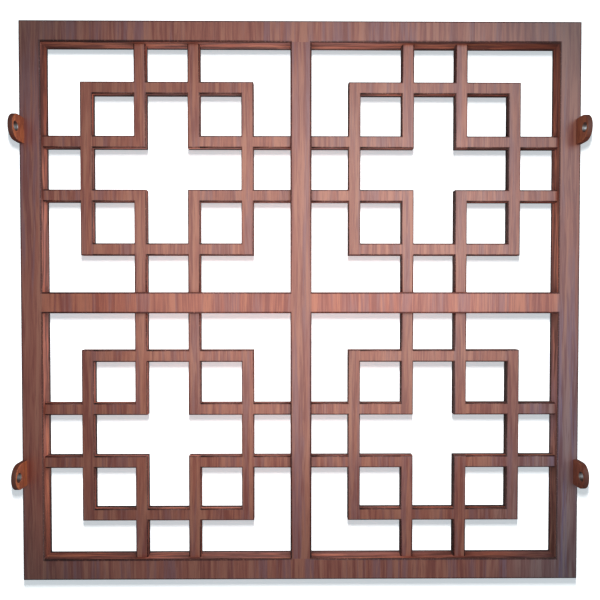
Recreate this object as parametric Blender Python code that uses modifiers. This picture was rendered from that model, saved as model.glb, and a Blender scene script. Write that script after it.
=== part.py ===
"""Square aluminium lattice window.

A frame of square tube is divided by a mullion and a transom into four panes. Each pane holds a
square ring of thinner tube. Two short legs run from each side of the pane, cross the ring and
end against each other in elbows, so that a cross-shaped opening is left in the middle. The
upright bars run through, and the level bars are halved behind them. Four drilled lugs stand on
the front of the stiles.

Metres, +Z up, the front faces -Y. The origin is the middle of the bottom rail's underside.
"""
import bpy
import bmesh
from math import pi
from mathutils import Vector

# Whole panel
WIDTH = 1.000
HEIGHT = 1.000

# Frame, mullion and transom: square tube
FRAME_FACE = 0.038
FRAME_DEPTH = 0.038
FRAME_WALL = 0.0015
FRAME_EDGE = 0.0025

# Lattice bars: thinner tube, centred in the depth of the frame
BAR_FACE = 0.022
BAR_DEPTH = 0.019
BAR_WALL = 0.0012
BAR_EDGE = 0.0020

# Equal steps between the centre lines of a pane's two members
PANE_STEPS = 5

# Drain hole behind each end of the rails, in the stile's inner wall
DRAIN_RADIUS = 0.006

# Fixing lugs, flush with the outer sides of the stiles
LUG_THICKNESS = 0.009
LUG_HEIGHT = 0.046
LUG_REACH = 0.043
LUG_TIP_FLAT = 0.002
LUG_EDGE = 0.0015
LUG_HOLE_RADIUS = 0.008
LUG_HOLE_REACH = 0.030
LUG_INSET = 0.195

# Clearance between neighbours, and how far a cutter runs past what it cuts
GAP = 0.0003
OVERCUT = 0.002

# Fineness of the round forms
EDGE_SEGMENTS = 2
NOSE_SEGMENTS = 6
HOLE_SIDES = 20
DRAIN_SIDES = 10

# Angle above which a lug's edge is rounded
SHARP_ANGLE = pi / 3

# Wood-grain coating: mean colours (linear light) and gloss
FRAME_COLOUR = (0.205, 0.112, 0.098)
LATTICE_COLOUR = (0.235, 0.128, 0.110)
LUG_COLOUR = (0.180, 0.078, 0.050)
COAT_ROUGHNESS = 0.42
COAT_METALLIC = 0.25

# Lines worked out from the sizes above
STILE_X = (WIDTH - FRAME_FACE) / 2
BOTTOM_Z = FRAME_FACE / 2
TOP_Z = HEIGHT - FRAME_FACE / 2
MIDDLE_Z = HEIGHT / 2
FRONT_Y = -FRAME_DEPTH / 2


def clear_scene():
    for item in list(bpy.data.objects):
        bpy.data.objects.remove(item)


def new_collection(name):
    collection = bpy.data.collections.new(name)
    bpy.context.scene.collection.children.link(collection)
    return collection


def coated_metal(name, colour):
    """Satin coating over aluminium, in the mean colour of its grain."""
    material = bpy.data.materials.new(name)
    material.use_nodes = True
    shader = material.node_tree.nodes["Principled BSDF"]
    shader.inputs["Base Color"].default_value = (*colour, 1.0)
    shader.inputs["Roughness"].default_value = COAT_ROUGHNESS
    shader.inputs["Metallic"].default_value = COAT_METALLIC
    material.diffuse_color = (*colour, 1.0)
    return material


def axes_of(run):
    """Number of the axis that a member runs along, and of the other one in the window's plane."""
    other = "Z" if run == "X" else "X"
    return "XYZ".index(run), "XYZ".index(other)


def box(name, low, high, collection):
    """A box between two corners, with its origin in its middle."""
    low = Vector(low)
    high = Vector(high)
    shape = bmesh.new()
    bmesh.ops.create_cube(shape, size=1.0)
    bmesh.ops.scale(shape, verts=shape.verts, vec=high - low)
    mesh = bpy.data.meshes.new(name)
    shape.to_mesh(mesh)
    shape.free()
    item = bpy.data.objects.new(name, mesh)
    item.location = (low + high) / 2
    collection.objects.link(item)
    return item


def rod(name, radius, sides, length, centre, collection):
    """A round cutter along X."""
    shape = bmesh.new()
    bmesh.ops.create_cone(shape, cap_ends=True, segments=sides, radius1=radius, radius2=radius, depth=length)
    mesh = bpy.data.meshes.new(name)
    shape.to_mesh(mesh)
    shape.free()
    item = bpy.data.objects.new(name, mesh)
    item.location = centre
    item.rotation_euler = (0, pi / 2, 0)
    collection.objects.link(item)
    return item


def round_edges(item, chosen, width, segments):
    """Round the edges that chosen() picks by the direction and the middle of each."""
    mesh = item.data
    weight = mesh.attributes.new("bevel_weight_edge", "FLOAT", "EDGE")
    for edge in mesh.edges:
        first, second = (mesh.vertices[i].co for i in edge.vertices)
        weight.data[edge.index].value = 1.0 if chosen(second - first, (first + second) / 2) else 0.0
    bevel = item.modifiers.new("rounding", "BEVEL")
    bevel.limit_method = "WEIGHT"
    bevel.width = width
    bevel.segments = segments


def cut(item, shapes):
    """Subtract each shape from the item."""
    for cutter in shapes:
        cutter.hide_render = True
        cutter.display_type = "WIRE"
        boolean = item.modifiers.new(cutter.name, "BOOLEAN")
        boolean.operation = "DIFFERENCE"
        boolean.solver = "EXACT"
        boolean.object = cutter


def tube(name, run, line, span, section, closed, material):
    """A tube that runs along X or Z, with rounded long edges.

    line is the place of its centre line on the other of the two axes and span its two ends.
    section is its face width, depth, wall and edge radius, and closed says which ends are shut.
    """
    face, depth, wall, edge = section
    along, across = axes_of(run)

    def corners(margin, start, end):
        low = Vector((0, -depth / 2 + margin, 0))
        high = Vector((0, depth / 2 - margin, 0))
        low[across] = line - face / 2 + margin
        high[across] = line + face / 2 - margin
        low[along] = start
        high[along] = end
        return low, high

    item = box(name, *corners(0.0, *span), parts)
    item.data.materials.append(material)
    round_edges(item, lambda direction, middle: direction[along] != 0.0, edge, EDGE_SEGMENTS)
    bore_start = span[0] + (wall if closed[0] else -OVERCUT)
    bore_end = span[1] - (wall if closed[1] else -OVERCUT)
    cut(item, [box(name + ".bore", *corners(wall, bore_start, bore_end), cutters)])
    return item


def halve(item, run, line, crossings, keeps_front):
    """Cut half the depth out of a lattice bar where it crosses others."""
    along, across = axes_of(run)
    notches = []
    for number, place in enumerate(crossings):
        low = Vector()
        high = Vector()
        low[along] = place - BAR_FACE / 2 - GAP
        high[along] = place + BAR_FACE / 2 + GAP
        low[across] = line - BAR_FACE / 2 - OVERCUT
        high[across] = line + BAR_FACE / 2 + OVERCUT
        if keeps_front:
            low.y = -GAP / 2
            high.y = BAR_DEPTH / 2 + OVERCUT
        else:
            low.y = -BAR_DEPTH / 2 - OVERCUT
            high.y = GAP / 2
        notches.append(box(f"{item.name}.notch.{number}", low, high, cutters))
    cut(item, notches)


def upright_bar(name, line, span, crossings, closed, material):
    bar = tube(name, "Z", line, span, (BAR_FACE, BAR_DEPTH, BAR_WALL, BAR_EDGE), closed, material)
    halve(bar, "Z", line, crossings, keeps_front=True)


def level_bar(name, line, span, crossings, material):
    bar = tube(name, "X", line, span, (BAR_FACE, BAR_DEPTH, BAR_WALL, BAR_EDGE), (False, False), material)
    halve(bar, "X", line, crossings, keeps_front=False)


def frame_tubes(material):
    """Stiles over the full height, rails and mullion between them, transom in two halves."""
    section = (FRAME_FACE, FRAME_DEPTH, FRAME_WALL, FRAME_EDGE)
    inner = STILE_X - FRAME_FACE / 2 - GAP
    beside_mullion = FRAME_FACE / 2 + GAP
    for side, sign in (("left", -1), ("right", 1)):
        stile = tube(f"{side}_stile", "Z", sign * STILE_X, (0.0, HEIGHT), section, (True, True), material)
        drains = []
        for end, z in (("bottom", BOTTOM_Z), ("top", TOP_Z)):
            wall_middle = (sign * (STILE_X - FRAME_FACE / 2 + FRAME_WALL / 2), 0.0, z)
            name = f"{side}_stile.{end}_drain"
            drains.append(rod(name, DRAIN_RADIUS, DRAIN_SIDES, FRAME_WALL + OVERCUT, wall_middle, cutters))
        cut(stile, drains)
        half = sorted((sign * inner, sign * beside_mullion))
        tube(f"{side}_transom", "X", MIDDLE_Z, half, section, (False, False), material)
    tube("bottom_rail", "X", BOTTOM_Z, (-inner, inner), section, (False, False), material)
    tube("top_rail", "X", TOP_Z, (-inner, inner), section, (False, False), material)
    between_rails = (BOTTOM_Z + FRAME_FACE / 2 + GAP, TOP_Z - FRAME_FACE / 2 - GAP)
    tube("mullion", "Z", 0.0, between_rails, section, (False, False), material)


def pane_lattice(pane, x_lines, z_lines, material):
    """The ring and the eight legs of one pane.

    x_lines and z_lines are the pane's centre lines, from its left or lower member to the opposite
    one. The ring lies on the second and last but one, and the legs on the lines inside it.
    """
    half = BAR_FACE / 2
    edge = FRAME_FACE / 2 + GAP
    left, ring_left, leg_left = x_lines[:3]
    leg_right, ring_right, right = x_lines[-3:]
    bottom, ring_bottom, leg_bottom = z_lines[:3]
    leg_top, ring_top, top = z_lines[-3:]

    for side, x in (("left", ring_left), ("right", ring_right)):
        span = (ring_bottom - half, ring_top + half)
        upright_bar(f"{pane}_ring_{side}", x, span, (leg_bottom, leg_top), (True, True), material)
    for side, z in (("bottom", ring_bottom), ("top", ring_top)):
        span = (ring_left + half + GAP, ring_right - half - GAP)
        level_bar(f"{pane}_ring_{side}", z, span, (leg_left, leg_right), material)

    for side, x in (("left", leg_left), ("right", leg_right)):
        lower = (bottom + edge, leg_bottom + half)
        upper = (leg_top - half, top - edge)
        upright_bar(f"{pane}_bottom_leg_{side}", x, lower, (ring_bottom,), (False, True), material)
        upright_bar(f"{pane}_top_leg_{side}", x, upper, (ring_top,), (True, False), material)
    for side, z in (("lower", leg_bottom), ("upper", leg_top)):
        from_left = (left + edge, leg_left - half - GAP)
        from_right = (leg_right + half + GAP, right - edge)
        level_bar(f"{pane}_left_leg_{side}", z, from_left, (ring_left,), material)
        level_bar(f"{pane}_right_leg_{side}", z, from_right, (ring_right,), material)


def centre_lines(start, end):
    """Evenly spaced lines from one member's centre to the next, both included."""
    step = (end - start) / PANE_STEPS
    return [start + step * number for number in range(PANE_STEPS + 1)]


def lug(name, side, z, material):
    """A drilled ear with a round nose, standing on the front of a stile."""
    outer = side * WIDTH / 2
    inner = outer - side * LUG_THICKNESS
    base = FRONT_Y - GAP
    low = (min(inner, outer), base - LUG_REACH, z - LUG_HEIGHT / 2)
    high = (max(inner, outer), base, z + LUG_HEIGHT / 2)
    item = box(name, low, high, parts)
    item.data.materials.append(material)
    nose_radius = min((LUG_HEIGHT - LUG_TIP_FLAT) / 2, LUG_REACH - LUG_EDGE)
    round_edges(item, lambda direction, middle: direction.x != 0.0 and middle.y < 0.0, nose_radius,
                NOSE_SEGMENTS)
    hole_centre = ((inner + outer) / 2, FRONT_Y - LUG_HOLE_REACH, z)
    hole = rod(name + ".hole", LUG_HOLE_RADIUS, HOLE_SIDES, LUG_THICKNESS + OVERCUT, hole_centre, cutters)
    cut(item, [hole])
    softened = item.modifiers.new("softened edges", "BEVEL")
    softened.limit_method = "ANGLE"
    softened.angle_limit = SHARP_ANGLE
    softened.width = LUG_EDGE
    softened.segments = EDGE_SEGMENTS


clear_scene()
parts = new_collection("lattice_window")
cutters = new_collection("cutters")

frame_coat = coated_metal("frame", FRAME_COLOUR)
lattice_coat = coated_metal("lattice", LATTICE_COLOUR)
lug_coat = coated_metal("lug", LUG_COLOUR)

frame_tubes(frame_coat)

for level, z_start, z_end in (("lower", BOTTOM_Z, MIDDLE_Z), ("upper", MIDDLE_Z, TOP_Z)):
    for side, x_start, x_end in (("left", -STILE_X, 0.0), ("right", 0.0, STILE_X)):
        pane_lattice(f"{level}_{side}", centre_lines(x_start, x_end), centre_lines(z_start, z_end), lattice_coat)

for level, z in (("lower", LUG_INSET), ("upper", HEIGHT - LUG_INSET)):
    for side, sign in (("left", -1), ("right", 1)):
        lug(f"{level}_{side}_lug", sign, z, lug_coat)
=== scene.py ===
# %% [markdown]
# A square lattice window of aluminium tube, finished in a rosewood grain. The CAD model gives every
# tube its place and size. This file dresses it: the tubes get their ground-flush joints and their
# grain, and each piece stands where its CAD node stands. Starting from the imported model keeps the
# looks and the solids in one frame, so nothing has to be fitted by eye.

# %% Load the window
from math import cos, pi, sin
import bmesh
import bpy
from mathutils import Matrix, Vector


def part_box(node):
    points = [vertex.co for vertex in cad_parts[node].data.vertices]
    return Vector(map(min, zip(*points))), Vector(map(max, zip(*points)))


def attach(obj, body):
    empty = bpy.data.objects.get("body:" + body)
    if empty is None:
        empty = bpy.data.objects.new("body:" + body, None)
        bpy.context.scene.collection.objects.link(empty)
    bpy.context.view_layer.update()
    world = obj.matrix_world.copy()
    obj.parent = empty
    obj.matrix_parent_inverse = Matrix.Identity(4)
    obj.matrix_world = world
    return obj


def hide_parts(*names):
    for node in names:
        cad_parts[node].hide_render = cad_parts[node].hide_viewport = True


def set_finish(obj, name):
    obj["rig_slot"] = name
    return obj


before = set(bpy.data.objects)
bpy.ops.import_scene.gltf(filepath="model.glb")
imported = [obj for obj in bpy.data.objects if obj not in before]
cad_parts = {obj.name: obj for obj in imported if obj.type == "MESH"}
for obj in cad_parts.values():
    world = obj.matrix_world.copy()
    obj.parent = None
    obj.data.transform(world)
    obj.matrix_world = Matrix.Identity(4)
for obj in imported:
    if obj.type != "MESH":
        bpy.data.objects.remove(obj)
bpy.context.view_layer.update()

# %% [markdown]
# The window is seen from a little over a metre away, level with its middle, and turned a touch to
# the right. The lens is normal and the picture is square. A standard view transform keeps the
# white sheet white and the reds as they are, where the default one would soften both.

# %% Place the camera
EYE = Vector((-0.0080, -1.0920, 0.5090))
LOOK = Vector((0.0075, 1.0000, -0.0210))

lens = bpy.data.cameras.new("window_camera")
lens.sensor_width = 36.0
lens.lens = 36.0
lens.shift_x = -0.0017
lens.shift_y = 0.0172
camera = bpy.data.objects.new("window_camera", lens)
camera.location = EYE
camera.rotation_euler = LOOK.to_track_quat("-Z", "Y").to_euler()
bpy.context.scene.collection.objects.link(camera)
bpy.context.scene.camera = camera
bpy.context.scene.view_settings.view_transform = "Standard"
print("camera", round(-EYE.y, 3), "m in front of the middle of the window")

# %% [markdown]
# Behind the window hangs a white paper sheet, and below it lies a pale floor. Each is one flat
# face. A sheet would hide the window from its other side, so both are clear from behind: the back
# of the window and its underside can then be looked at too.

# %% Hang the sheet and lay the floor
SHEET_Y = 0.150
SHEET_HALF_WIDTH = 1.1
SHEET_TOP = 1.5
FLOOR_Z = -0.150
FLOOR_REACH = 6.0


def flat_sheet(name, corners):
    mesh = bpy.data.meshes.new(name)
    mesh.from_pydata(corners, [], [range(len(corners))])
    sheet = bpy.data.objects.new(name, mesh)
    bpy.context.scene.collection.objects.link(sheet)
    return sheet


def clear_from_behind(material, look):
    """Show the look on the front of a sheet, and nothing on its back."""
    nodes, links = material.node_tree.nodes, material.node_tree.links
    side = nodes.new("ShaderNodeNewGeometry")
    clear = nodes.new("ShaderNodeBsdfTransparent")
    choice = nodes.new("ShaderNodeMixShader")
    links.new(side.outputs["Backfacing"], choice.inputs[0])
    links.new(look, choice.inputs[1])
    links.new(clear.outputs[0], choice.inputs[2])
    links.new(choice.outputs[0], nodes["Material Output"].inputs["Surface"])


paper_sheet = flat_sheet("paper_sheet", [
    (-SHEET_HALF_WIDTH, SHEET_Y, FLOOR_Z), (SHEET_HALF_WIDTH, SHEET_Y, FLOOR_Z),
    (SHEET_HALF_WIDTH, SHEET_Y, SHEET_TOP), (-SHEET_HALF_WIDTH, SHEET_Y, SHEET_TOP)])
paper_sheet.visible_shadow = False
floor = flat_sheet("floor", [
    (-FLOOR_REACH, -FLOOR_REACH, FLOOR_Z), (FLOOR_REACH, -FLOOR_REACH, FLOOR_Z),
    (FLOOR_REACH, FLOOR_REACH, FLOOR_Z), (-FLOOR_REACH, FLOOR_REACH, FLOOR_Z)])
floor.visible_diffuse = False
floor.visible_glossy = False
print("sheet", SHEET_Y, "m behind the middle of the window; floor", -FLOOR_Z, "m below it")

# %% [markdown]
# The paper is pale grey in the shade of a bar, and white outside it. What it throws back onto the
# sides of the tubes is another matter: the real sheet is brightest behind the middle of the window.
# One plain bright sheet would light the outer tubes too much, so the look of the paper and its glow
# are kept apart: the lens sees the look, and the tubes get the glow.

# %% Mix the paper and the floor
SHEET_SHADE = 0.49
SHEET_GLOW = 3.2
GLOW_CENTRE = (-0.07, SHEET_Y, 0.5)
GLOW_REACH = 0.53
GLOW_FULL = 0.22

paper = bpy.data.materials.new("paper")
paper.use_nodes = True
nodes, links = paper.node_tree.nodes, paper.node_tree.links
paper_look = nodes["Principled BSDF"]
paper_look.inputs["Base Color"].default_value = (0.90, 0.90, 0.90, 1.0)
paper_look.inputs["Roughness"].default_value = 0.9
paper_look.inputs["Specular IOR Level"].default_value = 0.0
paper_look.inputs["Emission Color"].default_value = (0.86, 0.95, 1.0, 1.0)
paper_look.inputs["Emission Strength"].default_value = SHEET_SHADE
distance = nodes.new("ShaderNodeVectorMath")
distance.operation = "DISTANCE"
distance.inputs[1].default_value = GLOW_CENTRE
links.new(nodes.new("ShaderNodeTexCoord").outputs["Object"], distance.inputs[0])
pool = nodes.new("ShaderNodeMapRange")
pool.interpolation_type = "SMOOTHSTEP"
pool.inputs["From Min"].default_value = GLOW_REACH
pool.inputs["From Max"].default_value = GLOW_FULL
pool.inputs["To Max"].default_value = SHEET_GLOW
links.new(distance.outputs["Value"], pool.inputs["Value"])
path = nodes.new("ShaderNodeLightPath")
soft_only = nodes.new("ShaderNodeMath")
soft_only.operation = "MULTIPLY"
links.new(pool.outputs["Result"], soft_only.inputs[0])
links.new(path.outputs["Is Diffuse Ray"], soft_only.inputs[1])
glow = nodes.new("ShaderNodeEmission")
links.new(soft_only.outputs[0], glow.inputs["Strength"])
look_or_glow = nodes.new("ShaderNodeMixShader")
links.new(path.outputs["Is Camera Ray"], look_or_glow.inputs[0])
links.new(glow.outputs[0], look_or_glow.inputs[1])
links.new(paper_look.outputs[0], look_or_glow.inputs[2])
clear_from_behind(paper, look_or_glow.outputs[0])
paper.cycles.emission_sampling = "NONE"
paper_sheet.data.materials.append(paper)

concrete = bpy.data.materials.new("pale_floor")
concrete.use_nodes = True
concrete_look = concrete.node_tree.nodes["Principled BSDF"]
concrete_look.inputs["Base Color"].default_value = (0.72, 0.72, 0.71, 1.0)
concrete_look.inputs["Roughness"].default_value = 0.7
clear_from_behind(concrete, concrete_look.outputs[0])
floor.data.materials.append(concrete)
print("paper glows to", GLOW_REACH, "m from its middle, at", SHEET_GLOW)

# %% [markdown]
# The window is lit as a product is in a studio. A wide soft light hangs close in front, so the
# tubes are brightest in the middle and sink towards the corners. Cooler panels stand back on the
# right and above, with weak ones on the left and at the side. Two behind light the back, and are
# kept out of reflections. Light linking gives the window, the sheet and the floor lights of their
# own: each can then be set by itself, as flags and screens do it in a studio.

# %% Set the panels
PANELS = {
    # name: (place, aim, width, watts, tint)
    "near_panel": ((0.05, -0.24, 0.58), (0.05, 0.0, 0.58), 0.84, 1.36, (1.0, 0.97, 0.93)),
    "right_panel": ((1.0, -2.1, 1.10), (0.1, 0.0, 0.60), 1.8, 11.4, (0.76, 0.91, 1.0)),
    "high_panel": ((0.5, -2.1, 1.9), (0.1, 0.0, 0.5), 1.8, 3.2, (0.94, 0.98, 1.0)),
    "left_panel": ((-1.2, -2.2, 1.1), (0.0, 0.0, 0.5), 2.0, 1.6, (0.94, 0.98, 1.0)),
    "side_panel": ((2.6, -0.80, 1.0), (0.0, 0.0, 0.55), 0.80, 5.0, (1.0, 0.98, 0.95)),
    "back_right_panel": ((0.5, 2.9, 0.9), (0.1, 0.0, 0.6), 1.4, 8.0, (1.0, 0.98, 0.96)),
    "back_left_panel": ((-0.5, 2.9, 0.8), (-0.1, 0.0, 0.5), 1.4, 5.0, (0.94, 0.98, 1.0)),
}
WHITE = (1.0, 1.0, 1.0)

sheet_only = bpy.data.collections.new("sheet_only")
sheet_only.objects.link(paper_sheet)
floor_only = bpy.data.collections.new("floor_only")
floor_only.objects.link(floor)
not_sheet = bpy.data.collections.new("not_sheet")
not_sheet.objects.link(paper_sheet)
not_sheet.collection_objects[0].light_linking.link_state = "EXCLUDE"


def soft_panel(name, place, aim, width, watts, tint, receivers):
    light = bpy.data.lights.new(name, "AREA")
    light.shape = "DISK"
    light.size = width
    light.energy = watts
    light.color = tint
    panel = bpy.data.objects.new(name, light)
    panel.location = place
    panel.rotation_euler = (Vector(aim) - Vector(place)).to_track_quat("-Z", "Y").to_euler()
    panel.visible_camera = False
    bpy.context.scene.collection.objects.link(panel)
    panel.light_linking.receiver_collection = receivers
    return panel


for name, settings in PANELS.items():
    panel = soft_panel(name, *settings, not_sheet)
    panel.visible_glossy = not name.startswith("back_")
soft_panel("floor_panel", (0.0, 0.0, 3.4), (0.0, 0.0, 0.0), 4.0, 120.0, WHITE, floor_only)

# %% [markdown]
# The shade on the sheet is a thin strip under each bar. A light beside the lens throws every shadow
# right behind its bar, and lifting it a little above the lens lets that strip show. Its strength
# doesn't fall off with distance, so the sheet is lit the same all over.

# %% Light the sheet and the room
SHADOW_RISE = 0.108
SHEET_LIGHT_SIZE = (0.02, 0.10)
SHEET_LIGHT_POWER = 14.0
ROOM_LIGHT = 0.20
ROOM_SEEN = 0.80

above_lens = EYE + Vector((0.0, 0.0, SHADOW_RISE))
straight_on = Vector((above_lens.x, SHEET_Y, above_lens.z))
lamp = soft_panel(
    "sheet_light", above_lens, straight_on, SHEET_LIGHT_SIZE[0], SHEET_LIGHT_POWER, WHITE, sheet_only)
sheet_light = lamp.data
sheet_light.shape = "RECTANGLE"
sheet_light.size_y = SHEET_LIGHT_SIZE[1]
sheet_light.use_nodes = True
light_nodes = sheet_light.node_tree.nodes
falloff = light_nodes.new("ShaderNodeLightFalloff")
falloff.inputs["Strength"].default_value = 1.0
sheet_light.node_tree.links.new(falloff.outputs["Constant"], light_nodes["Emission"].inputs["Strength"])

world = bpy.data.worlds.new("studio")
world.use_nodes = True
room = world.node_tree.nodes["Background"]
room.inputs["Color"].default_value = (0.86, 0.93, 1.0, 1.0)
ray = world.node_tree.nodes.new("ShaderNodeLightPath")
strength = world.node_tree.nodes.new("ShaderNodeMapRange")
strength.inputs["To Min"].default_value = ROOM_LIGHT
strength.inputs["To Max"].default_value = ROOM_SEEN
world.node_tree.links.new(ray.outputs["Is Camera Ray"], strength.inputs["Value"])
world.node_tree.links.new(strength.outputs[0], room.inputs["Strength"])
bpy.context.scene.world = world
print("sheet light", SHADOW_RISE, "m above the lens; room lights at", ROOM_LIGHT, "and shows at", ROOM_SEEN)

# %% [markdown]
# The joints of the real window are welded, ground flush and then coated, so no seam shows and the
# rounded edge of a tube stops where another tube meets it. A bevel on each tube by itself would
# leave a groove at every joint. So all tubes of one layer are first made as one welded form. The
# form is a grid of cells: a cell is metal where a tube covers it.

# %% Make a form from a grid of cells
WALLS = {
    # the neighbour's place: the ends of the wall towards it
    (-1, 0): ((0, 1), (0, 0)), (1, 0): ((1, 0), (1, 1)),
    (0, -1): ((0, 0), (1, 0)), (0, 1): ((1, 1), (0, 1)),
}


def cell_grid(rectangles):
    """The lines of the grid along X and Z, and its metal cells as (column, row)."""
    xs = sorted({value for r in rectangles for value in r[:2]})
    zs = sorted({value for r in rectangles for value in r[2:]})
    cells = []
    for i in range(len(xs) - 1):
        for k in range(len(zs) - 1):
            x, z = (xs[i] + xs[i + 1]) / 2, (zs[k] + zs[k + 1]) / 2
            if any(r[0] < x < r[1] and r[2] < z < r[3] for r in rectangles):
                cells.append((i, k))
    return xs, zs, cells


def closed_form(rectangles, front, back):
    """A front, a back and outer walls round all metal cells."""
    xs, zs, cells = cell_grid(rectangles)
    form = bmesh.new()
    corners = {}

    def corner(i, y, k):
        if (i, y, k) not in corners:
            corners[i, y, k] = form.verts.new((xs[i], y, zs[k]))
        return corners[i, y, k]

    for i, k in cells:
        around = ((i, k), (i + 1, k), (i + 1, k + 1), (i, k + 1))
        form.faces.new([corner(a, front, b) for a, b in around])
        form.faces.new([corner(a, back, b) for a, b in around[:1] + around[:0:-1]])
        for (di, dk), ((ai, ak), (bi, bk)) in WALLS.items():
            if (i + di, k + dk) not in cells:
                a, b = (i + ai, k + ak), (i + bi, k + bk)
                sides = ((*a, back), (*b, back), (*b, front), (*a, front))
                form.faces.new([corner(column, y, row) for column, row, y in sides])
    bmesh.ops.recalc_face_normals(form, faces=form.faces)
    return form


sample = closed_form([(0.0, 2.0, 0.0, 1.0), (0.0, 1.0, 0.0, 2.0)], 0.0, 1.0)
print("two tubes in an L give a form of", len(sample.faces), "faces")
sample.free()

# %% [markdown]
# Drawn tube has small round edges. Only the free edges of the form get them: an edge where two
# tubes meet in one plane is no edge, and one that lies against another form stays square. Corners
# that run along the depth are crisper, as on tube that is cut and welded there.

# %% Round the free edges
HAIR = 0.00005
SHARP_TURN = 1.0
CORNER_SHARE = 0.3
ROUNDING_STEPS = 4

window_pieces = bpy.data.collections.new("window_pieces")
bpy.context.scene.collection.children.link(window_pieces)


def weigh_edges(form, held_x, held_z):
    """Give each free edge its share of the rounding."""
    weights = form.edges.layers.float.new("bevel_weight_edge")
    for edge in form.edges:
        if len(edge.link_faces) != 2 or edge.calc_face_angle() <= SHARP_TURN:
            continue
        first, second = (vertex.co for vertex in edge.verts)
        middle = (first + second) / 2
        if min((abs(middle.x - x) for x in held_x), default=1.0) < HAIR:
            continue
        if min((abs(middle.z - z) for z in held_z), default=1.0) < HAIR:
            continue
        along_depth = abs(first.y - second.y) > HAIR
        if not along_depth:
            edge[weights] = 1.0
        elif edge.is_convex:
            edge[weights] = CORNER_SHARE


def welded_form(name, rectangles, front, back, rounding, held_x, held_z):
    """One closed body over all the rectangles, square where it ends on a held line."""
    form = closed_form(rectangles, front, back)
    weigh_edges(form, held_x, held_z)
    mesh = bpy.data.meshes.new(name)
    form.to_mesh(mesh)
    form.free()
    item = bpy.data.objects.new(name, mesh)
    window_pieces.objects.link(item)
    bevel = item.modifiers.new("rounding", "BEVEL")
    bevel.limit_method = "WEIGHT"
    bevel.width = rounding
    bevel.segments = ROUNDING_STEPS
    bevel.miter_inner = "MITER_SHARP"
    return item


print("free edges turn in", ROUNDING_STEPS, "steps; corners get", CORNER_SHARE, "of the rounding")

# %% [markdown]
# Each tube is then cut out of the welded form as a piece of its own, with the bounds of its CAD
# node. Cutting keeps the surface that runs across a joint in one plane, and still gives one closed
# piece for each real member. Where an upright and a level bar cross, they are halved as in the CAD:
# the upright keeps the front half, the level bar the back half.

# %% Find where members meet
PAST_END = 20
DEEP = 0.1
WIDE = 0.01


def crosses(first, second):
    """Whether two bars pass through each other, with metal on both sides of the crossing."""
    return (first[0] < second[1] - HAIR and second[0] < first[1] - HAIR
            and first[2] < second[3] - HAIR and second[2] < first[3] - HAIR)


def ends_on(rectangle, other, end):
    """Whether an end of a rectangle, numbered as in its list, lies on the side of another one."""
    opposite = end - 1 if end % 2 else end + 1
    low, high = (2, 3) if end < 2 else (0, 1)
    return (abs(rectangle[end] - other[opposite]) < HAIR
            and rectangle[low] < other[high] - HAIR and other[low] < rectangle[high] - HAIR)


def kept_range(rectangle, upright, others):
    """What the cut keeps: a hair short of a joint, and well past a free end."""
    reach = [-HAIR, HAIR, -HAIR, HAIR]
    for end in ((2, 3) if upright else (0, 1)):
        joined = any(ends_on(rectangle, other, end) for other in others)
        reach[end] *= -1 if joined else PAST_END
    return [value + extra for value, extra in zip(rectangle, reach)]


def block(name, low, high):
    shape = bmesh.new()
    bmesh.ops.create_cube(shape, size=1.0)
    bmesh.ops.scale(shape, verts=shape.verts, vec=Vector(high) - Vector(low))
    bmesh.ops.translate(shape, verts=shape.verts, vec=(Vector(high) + Vector(low)) / 2)
    mesh = bpy.data.meshes.new(name)
    shape.to_mesh(mesh)
    shape.free()
    item = bpy.data.objects.new(name, mesh)
    window_pieces.objects.link(item)
    return item


def cutters_for(rectangle, upright, others):
    """The block that keeps a member, and a notch for each bar that it crosses."""
    x0, x1, z0, z1 = kept_range(rectangle, upright, others)
    cutters = [("INTERSECT", block("keep", (x0, -DEEP, z0), (x1, DEEP, z1)))]
    for other in others:
        if not crosses(rectangle, other):
            continue
        if upright:
            low, high = (x0 - WIDE, 0.0, other[2] - HAIR), (x1 + WIDE, DEEP, other[3] + HAIR)
        else:
            low, high = (other[0] - HAIR, -DEEP, z0 - WIDE), (other[1] + HAIR, 0.0, z1 + WIDE)
        cutters.append(("DIFFERENCE", block("notch", low, high)))
    return cutters


print("an upright and a level bar cross:", crosses((1.0, 2.0, 0.0, 3.0), (0.0, 3.0, 1.0, 2.0)))

# %% [markdown]
# Two things about a member are kept on its points, for the finish: a shift, which moves it to a
# place of its own in the wood pattern, and a warmth. The two transoms of the real window are a
# little redder than the rest, as tubes from another batch of film would be.

# %% Cut members out of a form
FLAT = 0.9999
SHIFT_STEP = 0.37
WARM_MEMBERS = {"left_transom": 1.0, "right_transom": 0.9}


def note_on_points(mesh, label, values):
    mesh.attributes.new(label, "FLOAT", "POINT").data.foreach_set("value", values)


def evaluated(item):
    return item.evaluated_get(bpy.context.evaluated_depsgraph_get())


def stand_for(piece, node, slot):
    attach(piece, "root")
    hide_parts(node)
    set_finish(piece, slot)


def member(form, node, rectangle, upright, others, slot):
    """The part of the form that belongs to one tube."""
    piece = bpy.data.objects.new(node + "_tube", evaluated(form).data.copy())
    window_pieces.objects.link(piece)
    cutters = cutters_for(rectangle, upright, others)
    for operation, cutter in cutters:
        boolean = piece.modifiers.new("cut", "BOOLEAN")
        boolean.operation = operation
        boolean.solver = "EXACT"
        boolean.object = cutter
    shape = bpy.data.meshes.new_from_object(evaluated(piece))
    piece.modifiers.clear()
    piece.data = shape
    for _, cutter in cutters:
        bpy.data.objects.remove(cutter)
    shape.name = piece.name
    for face in shape.polygons:
        face.use_smooth = max(abs(value) for value in face.normal) < FLAT
    points = len(shape.vertices)
    note_on_points(shape, "member_shift", [sorted(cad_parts).index(node) * SHIFT_STEP] * points)
    note_on_points(shape, "member_warmth", [WARM_MEMBERS.get(node, 0.0)] * points)
    stand_for(piece, node, slot)
    return piece


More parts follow.
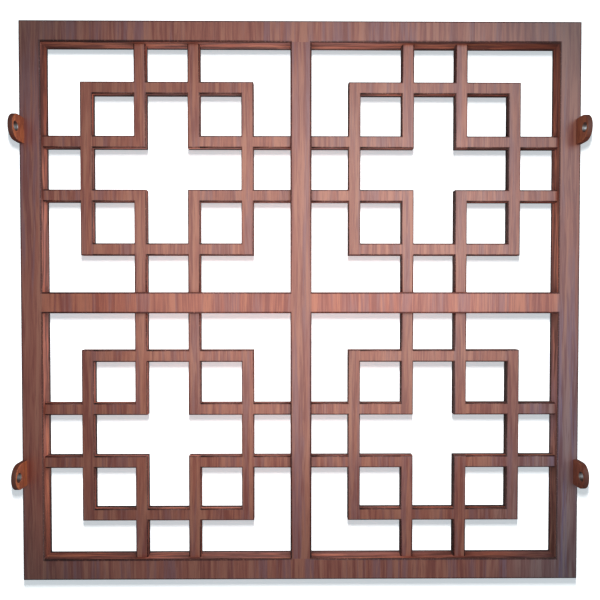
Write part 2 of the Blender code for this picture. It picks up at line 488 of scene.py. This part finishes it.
print("warm members:", sorted(WARM_MEMBERS))

# %% [markdown]
# The frame is five long tubes and two short ones. Its joint lines are the sides of these tubes.
# All seven lie in one plane, front and back, so one form holds them.

# %% Build the frame
FRAME_TUBES = {
    # name: whether it stands upright
    "left_stile": True, "right_stile": True, "mullion": True,
    "bottom_rail": False, "top_rail": False, "left_transom": False, "right_transom": False,
}
FRAME_ROUNDING = 0.0030


def rectangle_of(node):
    low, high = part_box(node)
    return [low.x, high.x, low.z, high.z]


def joint_lines(tubes, start):
    """The sides of some tubes along X (from 0 in a rectangle) or Z (from 2)."""
    return sorted({side for tube in tubes for side in rectangle_of(tube)[start:start + 2]})


def snapped(rectangle, x_lines, z_lines):
    """Close the thin gaps that the CAD leaves, by moving each side to the nearest joint line."""
    lines = (x_lines, x_lines, z_lines, z_lines)
    return [min(axis, key=lambda line: abs(line - value)) for value, axis in zip(rectangle, lines)]


def dress_layer(name, tubes, x_lines, z_lines, rounding, slot, held_x=(), held_z=()):
    """Weld the tubes of one layer together, and cut the form into its members."""
    front, back = (corner.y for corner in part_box(next(iter(tubes))))
    rectangles = {tube: snapped(rectangle_of(tube), x_lines, z_lines) for tube in tubes}
    form = welded_form(name, list(rectangles.values()), front, back, rounding, held_x, held_z)
    made = []
    for tube, upright in tubes.items():
        others = [rectangles[other] for other in tubes if tubes[other] != upright]
        made.append(member(form, tube, rectangles[tube], upright, others, slot))
    bpy.data.objects.remove(form)
    return made


frame_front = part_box("mullion")[0].y
frame_x = joint_lines(("left_stile", "mullion", "right_stile"), 0)
frame_z = joint_lines(("bottom_rail", "left_transom", "top_rail"), 2)
pieces = dress_layer("frame_form", FRAME_TUBES, frame_x, frame_z, FRAME_ROUNDING, "frame")
print("frame:", len(pieces), "tubes,", sum(len(p.data.polygons) for p in pieces), "faces")

# %% [markdown]
# Each pane holds a square ring and eight legs. Two legs from each side cross the ring and meet the
# legs of the next side in elbows, which leaves a cross-shaped opening. All twelve bars are one
# layer, set back from the frame's front, so each pane is one form too. The legs end square against
# the frame, and are not rounded there.

# %% Build the four lattices
LATTICE_BARS = {
    "ring_left": True, "ring_right": True, "ring_bottom": False, "ring_top": False,
    "bottom_leg_left": True, "bottom_leg_right": True, "top_leg_left": True, "top_leg_right": True,
    "left_leg_lower": False, "left_leg_upper": False, "right_leg_lower": False, "right_leg_upper": False,
}
BAR_ROUNDING = 0.0024

for pane in ("lower_left", "lower_right", "upper_left", "upper_right"):
    bars = {f"{pane}_{bar}": upright for bar, upright in LATTICE_BARS.items()}
    bar_x = joint_lines([bar for bar in bars if bars[bar]], 0) + frame_x
    bar_z = joint_lines([bar for bar in bars if not bars[bar]], 2) + frame_z
    pieces += dress_layer(pane + "_form", bars, bar_x, bar_z, BAR_ROUNDING, "lattice", frame_x, frame_z)
print("with the lattices:", len(pieces), "pieces,", sum(len(p.data.polygons) for p in pieces), "faces")

# %% [markdown]
# A fixing lug is a drilled ear with a round nose, welded upright on the front of a stile. Seen
# along its hole it is a ring of uneven width, so it is made as one: a rounded section, from the
# hole out to the rim, is carried round the hole and closed on itself. That gives clean faces round
# the hole, which a Boolean would leave ragged.

# %% Draw a lug's section
LUG_NOSE = 0.022
LUG_SOFTENING = 0.0015
CORNER_POINTS = 4
OUTSIDE = 0.1
HALVINGS = 40


def in_outline(y, z, low, high):
    """Whether a point lies inside the lug's outline: a plate with a rounded nose in front."""
    past_z = max(0.0, abs(z - (low.z + high.z) / 2) - ((high.z - low.z) / 2 - LUG_NOSE))
    past_y = max(0.0, low.y + LUG_NOSE - y)
    return y < high.y and past_y ** 2 + past_z ** 2 <= LUG_NOSE ** 2


def rim_distance(angle, low, high, hole):
    """How far the rim is from the middle of the hole, in a direction in the Y-Z plane."""
    nearest, farthest = 0.0, OUTSIDE
    for _ in range(HALVINGS):
        reach = (nearest + farthest) / 2
        inside = in_outline(hole.y - reach * cos(angle), hole.z + reach * sin(angle), low, high)
        nearest, farthest = (reach, farthest) if inside else (nearest, reach)
    return nearest


def lug_section(inner, outer, left, right, soft):
    """Points (distance from the hole's middle, X) round the section between the hole and the rim."""
    points = []
    for r, x, start in ((inner + soft, left + soft, pi), (outer - soft, left + soft, 1.5 * pi),
                        (outer - soft, right - soft, 0.0), (inner + soft, right - soft, 0.5 * pi)):
        for step in range(CORNER_POINTS):
            turn = start + step * 0.5 * pi / (CORNER_POINTS - 1)
            points.append((r + soft * cos(turn), x + soft * sin(turn)))
    return points


print("a lug's section has", 4 * CORNER_POINTS, "points")

# %% [markdown]
# Three places on a lug are marked: its rim is painted darker, as painted shade on the outline that
# turns away from the light; the bore is painted dark, as painted shade inside the hole; and one spot
# in the bore is bright metal, worn by the bolt and also a painted highlight on the wall that faces the
# front. They follow the shape, so they are noted on the points while the shape is known, and the
# finish reads them.

# %% Make the lugs
HOLE_RADIUS = 0.008
HOLE_REACH = 0.030
LUG_STEPS = 72
LUG_ROOT = 0.0015
WORN_AND_HIGHLIGHT_SPOT = 10


def note_lug_places(mesh, hole, low, high):
    near = 0.3 * LUG_SOFTENING
    rim, bore, bare_and_highlight = [], [], []
    for vertex in mesh.vertices:
        offset = vertex.co - hole
        radius = offset.yz.length
        in_bore = radius < HOLE_RADIUS + near
        past_face = radius > HOLE_RADIUS + 2 * LUG_SOFTENING
        # The rim gets painted shade: the finish darkens it as it darkens rounded edges.
        rim.append(float(past_face and min(vertex.co.x - low.x, high.x - vertex.co.x) > near))
        bore.append(float(in_bore))
        # The spot sits on the part of the bore's wall that faces the front: worn metal, and a painted
        # highlight where the lights catch it.
        bare_and_highlight.append(in_bore * max(0.0, offset.y / radius) ** WORN_AND_HIGHLIGHT_SPOT)
    note_on_points(mesh, "lug_rim", rim)
    note_on_points(mesh, "lug_bore", bore)
    note_on_points(mesh, "bare_and_highlight_metal", bare_and_highlight)


def fixing_lug(node):
    low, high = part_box(node)
    high.y = frame_front + LUG_ROOT
    hole = Vector(((low.x + high.x) / 2, frame_front - HOLE_REACH, (low.z + high.z) / 2))
    shape = bmesh.new()
    rows = []
    for step in range(LUG_STEPS):
        angle = 2 * pi * step / LUG_STEPS
        rim = rim_distance(angle, low, high, hole)
        section = lug_section(HOLE_RADIUS, rim, low.x, high.x, LUG_SOFTENING)
        places = [(x, hole.y - r * cos(angle), hole.z + r * sin(angle)) for r, x in section]
        rows.append([shape.verts.new(place) for place in places])
    for row, following in zip(rows, rows[1:] + rows[:1]):
        for i in range(len(row)):
            j = (i + 1) % len(row)
            shape.faces.new((row[i], row[j], following[j], following[i]))
    bmesh.ops.recalc_face_normals(shape, faces=shape.faces)
    mesh = bpy.data.meshes.new(node + "_ear")
    shape.to_mesh(mesh)
    shape.free()
    for face in mesh.polygons:
        face.use_smooth = True
    note_on_points(mesh, "member_shift", [hole.x + hole.z] * len(mesh.vertices))
    note_lug_places(mesh, hole, low, high)
    ear = bpy.data.objects.new(node + "_ear", mesh)
    window_pieces.objects.link(ear)
    stand_for(ear, node, "lug")
    return ear


lugs = [fixing_lug(node) for node in sorted(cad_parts) if node.endswith("_lug")]
print("lugs:", [tuple(round(v, 4) for v in lug.dimensions) for lug in lugs])

# %% [markdown]
# The finish is a film printed with rosewood, pressed on hot over a powder coat. The frame, the bars
# and the lugs all have it, in tones of their own, so its grain is a node group with an input for
# each tone. Two small helpers keep the node work readable: one makes a group, and one adds nodes
# and joins them in a single call.

# %% Prepare the node helpers
def new_group(name, inputs, outputs):
    group = bpy.data.node_groups.new(name, "ShaderNodeTree")
    for label, value in inputs.items():
        kind = "NodeSocketColor" if isinstance(value, tuple) else "NodeSocketFloat"
        group.interface.new_socket(label, in_out="INPUT", socket_type=kind).default_value = value
    for label, kind in outputs.items():
        group.interface.new_socket(label, in_out="OUTPUT", socket_type=kind)
    return group


class Net:
    """Adds nodes to a tree. A socket is given by its name, or by its number after an i."""

    def __init__(self, tree):
        self.tree = tree

    def feed(self, socket, value):
        if isinstance(value, bpy.types.NodeSocket):
            self.tree.links.new(value, socket)
        else:
            socket.default_value = value

    def add(self, kind, settings=None, **sockets):
        node = self.tree.nodes.new("ShaderNode" + kind)
        for key, value in (settings or {}).items():
            setattr(node, key, value)
        for key, value in sockets.items():
            numbered = key[0] == "i" and key[1:].isdigit()
            self.feed(node.inputs[int(key[1:]) if numbered else key.replace("_", " ")], value)
        return node

    def math(self, operation, first, second=0.0, clamp=False):
        settings = {"operation": operation, "use_clamp": clamp}
        return self.add("Math", settings, i0=first, i1=second).outputs[0]

    def vector(self, operation, first, second):
        node = self.add("VectorMath", {"operation": operation}, i0=first, i1=second)
        return node.outputs["Value" if operation == "DISTANCE" else "Vector"]

    def noise(self, vector, scale, detail, **settings):
        return self.add("TexNoise", Vector=vector, Scale=scale, Detail=detail, **settings).outputs[0]

    def other_noise(self, vector, scale, seed):
        """A second noise on the same place, unlike the first: the seed is a fourth coordinate."""
        settings = {"noise_dimensions": "4D"}
        return self.add("TexNoise", settings, Vector=vector, W=seed, Scale=scale, Detail=1.0).outputs[0]

    def noted(self, label):
        return self.add("Attribute", {"attribute_name": label}).outputs["Fac"]

    def blend(self, amount, first, second, mode="MIX"):
        settings = {"data_type": "RGBA", "blend_type": mode}
        return self.add("Mix", settings, i0=amount, i6=first, i7=second).outputs[2]

    def band(self, value, low, high):
        settings = {"interpolation_type": "SMOOTHSTEP"}
        return self.add("MapRange", settings, Value=value, From_Min=low, From_Max=high).outputs[0]


print("helpers ready")

# %% [markdown]
# On the front the grain always runs upright, also across the level bars, which is how such film is
# laid on a welded window. On the sides it follows each tube. So the place that the noise reads is
# turned on level faces, shifted for each member, and swayed a little, more on the sides. Dividing
# it by a width and a run draws round noise out into streaks.

# %% Lay the grain along the tubes
FRONT_FROM, FRONT_FULL = 0.55, 0.85
LEVEL_FROM = 0.5
SWAY_PER_METRE = (30.0, 30.0, 9.0)
SIDE_SWAY = 3.0

grain = new_group(
    "rosewood_grain",
    {"Light": (0.5, 0.2, 0.12, 1), "Middle": (0.4, 0.14, 0.09, 1), "Dark": (0.25, 0.09, 0.09, 1),
     "Cool": (0.25, 0.12, 0.12, 1), "Side": (1.0, 0.6, 0.4, 1), "Streak": 0.007, "Run": 0.12, "Wave": 0.004,
     "Back Shade": 0.9, "Back Shade From": 0.6, "Left Shade": 0.0, "Lower Right Sheen": 1.0, "Vein": 0.65},
    {"Color": "NodeSocketColor", "Figure": "NodeSocketFloat", "Front": "NodeSocketFloat"})
net = Net(grain)
given = grain.nodes.new("NodeGroupInput").outputs
where = net.add("TexCoord").outputs
place = net.add("SeparateXYZ", i0=where["Object"]).outputs
normal = net.add("SeparateXYZ", i0=net.add("NewGeometry").outputs["Normal"]).outputs
front = net.band(net.math("ABSOLUTE", normal[1]), FRONT_FROM, FRONT_FULL)
level = net.math("GREATER_THAN", net.math("ABSOLUTE", normal[2]), LEVEL_FROM)
shift = net.noted("member_shift")
shifted_x, shifted_z = net.math("ADD", place[0], shift), net.math("ADD", place[2], shift)
upright_place = net.add("CombineXYZ", i0=shifted_x, i1=place[1], i2=place[2]).outputs[0]
level_place = net.add("CombineXYZ", i0=place[1], i1=shifted_z, i2=place[0]).outputs[0]
turned = net.add("Mix", {"data_type": "VECTOR"}, i0=level, i4=upright_place, i5=level_place).outputs[1]

slow = net.vector("MULTIPLY", turned, SWAY_PER_METRE)
sway = net.add("TexNoise", Vector=slow, Scale=1.0, Detail=1.0).outputs["Color"]
more_on_sides = net.math("SUBTRACT", SIDE_SWAY, net.math("MULTIPLY", front, SIDE_SWAY - 1.0))
wave = net.math("MULTIPLY", given["Wave"], more_on_sides)
centred = net.vector("SUBTRACT", sway, (0.5, 0.5, 0.5))
scaled = net.add("VectorMath", {"operation": "SCALE"}, i0=centred, Scale=wave).outputs[0]
swayed = net.vector("ADD", turned, scaled)
fineness = net.math("DIVIDE", 1.0, given["Streak"])
stretch = net.add("CombineXYZ", i0=fineness, i1=fineness, i2=net.math("DIVIDE", 1.0, given["Run"])).outputs[0]
drawn_out = net.vector("MULTIPLY", swayed, stretch)
print("grain inputs:", [item.name for item in grain.interface.items_tree if item.in_out == "INPUT"])

# %% [markdown]
# Rosewood has broad cool bands, dark streaks between lighter ones, and fine lines with pores. Each
# is one noise of its own scale, and a soft step turns it into a mask that lays one tone over the
# last. Hard steps would look like stripes of paint.

# %% Print the streaks
LINE_SHARE = 0.65
COOL_BAND = (0.47, 0.60)

bands = net.other_noise(drawn_out, 0.5, seed=3.0)
hues = net.other_noise(drawn_out, 0.8, seed=7.0)
lines = net.other_noise(drawn_out, 3.2, seed=5.0)
streaks = net.noise(drawn_out, 1.0, 2.0, Roughness=0.6)
pores = net.noise(drawn_out, 8.0, 2.0, Roughness=0.6)
fine = net.math("ADD", net.math("MULTIPLY", lines, LINE_SHARE), net.math("MULTIPLY", pores, 1.0 - LINE_SHARE))
LAYERS = (
    # mask, where it starts, where it is full, strength, tone
    (streaks, 0.52, 0.38, 0.85, "Dark"), (hues, 0.50, 0.64, 0.85, "Light"),
    (fine, 0.50, 0.34, 0.60, "Dark"), (fine, 0.50, 0.66, 0.60, "Light"),
)
tone = net.blend(net.band(bands, *COOL_BAND), given["Middle"], given["Cool"])
for mask, start, full, amount, label in LAYERS:
    tone = net.blend(net.math("MULTIPLY", net.band(mask, start, full), amount), tone, given[label])
print("streaks:", len(LAYERS) + 1, "masks")

# %% [markdown]
# No two members are quite alike. Each gets a tone a little lighter or darker than the next, by a
# random number from its shift, and the warm ones get redder. Over the whole window a painted bluish
# sheen greys the lower right, and painted shade darkens the four outer corners. Such slow changes come
# from distances, since noise of that size couldn't be placed.

# %% Vary the members
TONE_SPREAD = 0.20
WARM_TINT = (1.30, 1.10, 0.94, 1)
SHEEN_TINT = (0.88, 1.45, 2.20, 1)
SHEEN_CORNER = (0.50, 0.0, 0.14)
SHEEN_REACH = 0.45
SHEEN_FULL = 0.08
NARROWING = 2.2
CORNER_SHADE_TINT = (0.66, 0.72, 0.76, 1)
WINDOW_MIDDLE = (0.0, 0.0, 0.5)
CORNER_SHADE_START = 0.56
CORNER_SHADE_FULL = 0.70

own = net.add("TexWhiteNoise", {"noise_dimensions": "1D"}, W=shift).outputs["Value"]
own_tone = net.math("ADD", net.math("MULTIPLY", own, TONE_SPREAD), 1.0 - TONE_SPREAD / 2)
tone = net.blend(1.0, tone, own_tone, "MULTIPLY")
tone = net.blend(net.noted("member_warmth"), tone, net.blend(1.0, tone, WARM_TINT, "MULTIPLY"))
# Painted sheen: a bluish-grey veil is laid over the lower right, in a pool drawn out upright, where a cool
# light's reflection would fall.
narrowed = net.vector("MULTIPLY", where["Object"], (NARROWING, 0.0, 1.0))
narrowed_sheen_corner = (NARROWING * SHEEN_CORNER[0], 0.0, SHEEN_CORNER[2])
in_sheen = net.band(net.vector("DISTANCE", narrowed, narrowed_sheen_corner), SHEEN_REACH, SHEEN_FULL)
sheened = net.blend(1.0, tone, SHEEN_TINT, "MULTIPLY")
tone = net.blend(net.math("MULTIPLY", in_sheen, given["Lower Right Sheen"]), tone, sheened)
# Painted shade: the tone darkens towards the four outer corners, as light falls off away from the middle.
corner_shade = net.band(net.vector("DISTANCE", where["Object"], WINDOW_MIDDLE), CORNER_SHADE_START, CORNER_SHADE_FULL)
tone = net.blend(corner_shade, tone, net.blend(1.0, tone, CORNER_SHADE_TINT, "MULTIPLY"))
print("members vary by", TONE_SPREAD, "in tone")

# %% [markdown]
# The sides of a tube are painted more orange than its front, standing in for the whitish sheen that only
# the front catches, and dark veins run in them. Towards the rear the sides are painted darker: painted shade,
# darkest at the back edge.
# On the lattice and the lugs the sides that face left get painted shade as well, which makes them
# nearly black.

# %% Darken the sides
VEIN_BAND = (0.56, 0.40)
VEIN_TONE = (0.10, 0.022, 0.014, 1)
REAR_SHADE_TONE = (0.030, 0.008, 0.010, 1)
REAR_SHADE_LENGTH = 0.24
LEFT_SHADE_BAND = (-0.35, -0.75)
LEFT_SHADE_TONE = (0.020, 0.006, 0.006, 1)
FIGURE_SHARE = 0.6

depth = net.add("SeparateXYZ", i0=where["Generated"]).outputs[1]
# Painted shade: the sides darken towards the rear edge, deepest at the back, where light reaches least.
rear_shade = net.band(depth, given["Back Shade From"], net.math("ADD", given["Back Shade From"], REAR_SHADE_LENGTH))
vein = net.math("MULTIPLY", net.band(streaks, *VEIN_BAND), given["Vein"])
# Dark veins run in the sides as grain. The sides are also painted more orange than the front: a painted lack
# of the sheen that the front catches.
sides = net.blend(vein, net.blend(1.0, tone, given["Side"], "MULTIPLY"), VEIN_TONE)
sides = net.blend(net.math("MULTIPLY", rear_shade, given["Back Shade"]), sides, REAR_SHADE_TONE)
toned = net.blend(net.math("SUBTRACT", 1.0, front), tone, sides)
# Painted shade: faces turned to the left are darkened, as if no light came from that side.
left_shade = net.math("MULTIPLY", net.band(normal[0], *LEFT_SHADE_BAND), given["Left Shade"])
toned = net.blend(left_shade, toned, LEFT_SHADE_TONE)
made = grain.nodes.new("NodeGroupOutput")
from_pores = net.math("MULTIPLY", pores, 1.0 - FIGURE_SHARE)
figure = net.math("ADD", net.math("MULTIPLY", streaks, FIGURE_SHARE), from_pores)
for label, value in (("Color", toned), ("Figure", figure), ("Front", front)):
    grain.links.new(value, made.inputs[label])
print("grain group:", len(grain.nodes), "nodes")

# %% [markdown]
# Film stretches thin over a rounded edge, so the edges of the tubes are a little duller than their
# faces. They are also painted darker: partly the thin film, partly a painted shade line along every
# rounded edge. The rounded strips are the only places where the normal points between two axes, so
# the normal itself finds them, and no mask has to be drawn.

# %% Build the edge group
TURN_BAND = (0.0005, 0.03)
SPOT_BAND = (0.2, 0.5)

edges = new_group("thin_film_and_shaded_edges", {"Breaks": 400.0}, {"Mask": "NodeSocketFloat"})
net = Net(edges)
given = edges.nodes.new("NodeGroupInput").outputs
normal = net.add("SeparateXYZ", i0=net.add("NewGeometry").outputs["Normal"]).outputs
across, outward, upward = (net.math("ABSOLUTE", normal[axis]) for axis in range(3))
largest = net.math("MAXIMUM", across, net.math("MAXIMUM", outward, upward))
rounded = net.band(net.math("SUBTRACT", 1.0, largest), *TURN_BAND)
spots = net.noise(net.add("TexCoord").outputs["Object"], given["Breaks"], 2.0)
mask = net.math("MULTIPLY", rounded, net.band(spots, *SPOT_BAND))
edges.links.new(mask, edges.nodes.new("NodeGroupOutput").inputs["Mask"])
print("edge group:", len(edges.nodes), "nodes")

# %% [markdown]
# One function mixes a finish from the two groups. The front is satin: a moderately rough coat with
# a thin clear layer over it. Edges and sides are duller and have no clear layer. The print has a
# very shallow relief, from its pores.

# %% Mix a finish
EDGE_FILM_AND_SHADE_TINT = (0.34, 0.27, 0.27, 1)
BORE_SHADE_TONE = (0.090, 0.034, 0.020, 1)
METAL_AND_HIGHLIGHT_TONE = (0.85, 0.82, 0.80, 1)
BARE_AND_HIGHLIGHT_SHARE = 0.9
SATIN = 0.34
FIGURE_DULLS = 0.20
EDGE_DULLS = 0.20
SIDE_DULLS = 0.30
RELIEF_STRENGTH = 0.25
RELIEF_DEPTH = 0.00015
CLEAR_LAYER = 0.60


def rosewood_finish(name, values, drilled):
    finish = bpy.data.materials.new(name)
    finish.use_nodes = True
    net = Net(finish.node_tree)
    shader = finish.node_tree.nodes["Principled BSDF"]
    film = net.add("Group", {"node_tree": grain})
    for label, value in values.items():
        film.inputs[label].default_value = (*value, 1.0) if isinstance(value, tuple) else value
    colour, figure, front = (film.outputs[label] for label in ("Color", "Figure", "Front"))
    # The mask marks rounded edges, or a lug's rim. The colour is darkened there: partly thin film, partly
    # painted shade.
    edge = net.noted("lug_rim") if drilled else net.add("Group", {"node_tree": edges}).outputs["Mask"]
    colour = net.blend(edge, colour, net.blend(1.0, colour, EDGE_FILM_AND_SHADE_TINT, "MULTIPLY"))
    if drilled:
        # Painted shade: the whole bore is coloured dark brown, as shade inside the hole.
        colour = net.blend(net.noted("lug_bore"), colour, BORE_SHADE_TONE)
        # Bright metal over that spot: partly real wear, partly a painted highlight.
        bare_and_highlight = net.math("MULTIPLY", net.noted("bare_and_highlight_metal"), BARE_AND_HIGHLIGHT_SHARE)
        colour = net.blend(bare_and_highlight, colour, METAL_AND_HIGHLIGHT_TONE)
        net.feed(shader.inputs["Metallic"], bare_and_highlight)
    net.feed(shader.inputs["Base Color"], colour)
    roughness = net.math("ADD", net.math("MULTIPLY", figure, FIGURE_DULLS), SATIN)
    roughness = net.math("ADD", roughness, net.math("MULTIPLY", edge, EDGE_DULLS))
    duller = net.math("MULTIPLY", net.math("SUBTRACT", 1.0, front), SIDE_DULLS)
    net.feed(shader.inputs["Roughness"], net.math("ADD", roughness, duller, clamp=True))
    relief = net.add("Bump", Strength=RELIEF_STRENGTH, Distance=RELIEF_DEPTH, Height=figure)
    net.feed(shader.inputs["Normal"], relief.outputs["Normal"])
    clear = net.math("MULTIPLY", net.math("SUBTRACT", 1.0, edge), front)
    net.feed(shader.inputs["Coat Weight"], net.math("MULTIPLY", clear, CLEAR_LAYER))
    shader.inputs["Coat Roughness"].default_value = 0.35
    shader.inputs["Specular IOR Level"].default_value = 1.0
    return finish


print("bare metal shows in the holes, over", BARE_AND_HIGHLIGHT_SHARE, "of a worn spot")

# %% [markdown]
# The frame is a touch greyer than the lattice, and its streaks are longer, since its tubes are
# wider. The lugs are the most orange. Their veins are faint, since they are small and covered with a
# piece of film of their own, and the painted sheen of the lower right is left off them.

# %% Finish the pieces
FINISHES = {
    "frame": {
        "Light": (0.500, 0.182, 0.112), "Middle": (0.400, 0.114, 0.070), "Dark": (0.265, 0.054, 0.034),
        "Cool": (0.315, 0.120, 0.122), "Side": (1.02, 0.75, 0.56),
        "Streak": 0.008, "Run": 0.20, "Wave": 0.006,
        "Back Shade": 0.92, "Back Shade From": 0.66, "Left Shade": 0.0, "Lower Right Sheen": 1.0, "Vein": 0.65},
    "lattice": {
        "Light": (0.540, 0.195, 0.115), "Middle": (0.430, 0.120, 0.068), "Dark": (0.280, 0.055, 0.032),
        "Cool": (0.350, 0.122, 0.106), "Side": (0.98, 0.62, 0.41),
        "Streak": 0.007, "Run": 0.15, "Wave": 0.005,
        "Back Shade": 0.92, "Back Shade From": 0.34, "Left Shade": 0.75, "Lower Right Sheen": 1.0, "Vein": 0.65},
    "lug": {
        "Light": (0.68, 0.22, 0.085), "Middle": (0.62, 0.18, 0.070), "Dark": (0.48, 0.120, 0.048),
        "Cool": (0.54, 0.15, 0.075), "Side": (1.05, 0.86, 0.66),
        "Streak": 0.008, "Run": 0.03, "Wave": 0.004,
        "Back Shade": 0.0, "Back Shade From": 1.0, "Left Shade": 0.50, "Lower Right Sheen": 0.0, "Vein": 0.20},
}

finishes = {}
for slot, values in FINISHES.items():
    finishes[slot] = rosewood_finish(slot + "_rosewood", values, drilled=slot == "lug")
for piece in pieces + lugs:
    piece.data.materials.clear()
    piece.data.materials.append(finishes[piece["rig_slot"]])
print("finishes:", [finish.name for finish in finishes.values()])
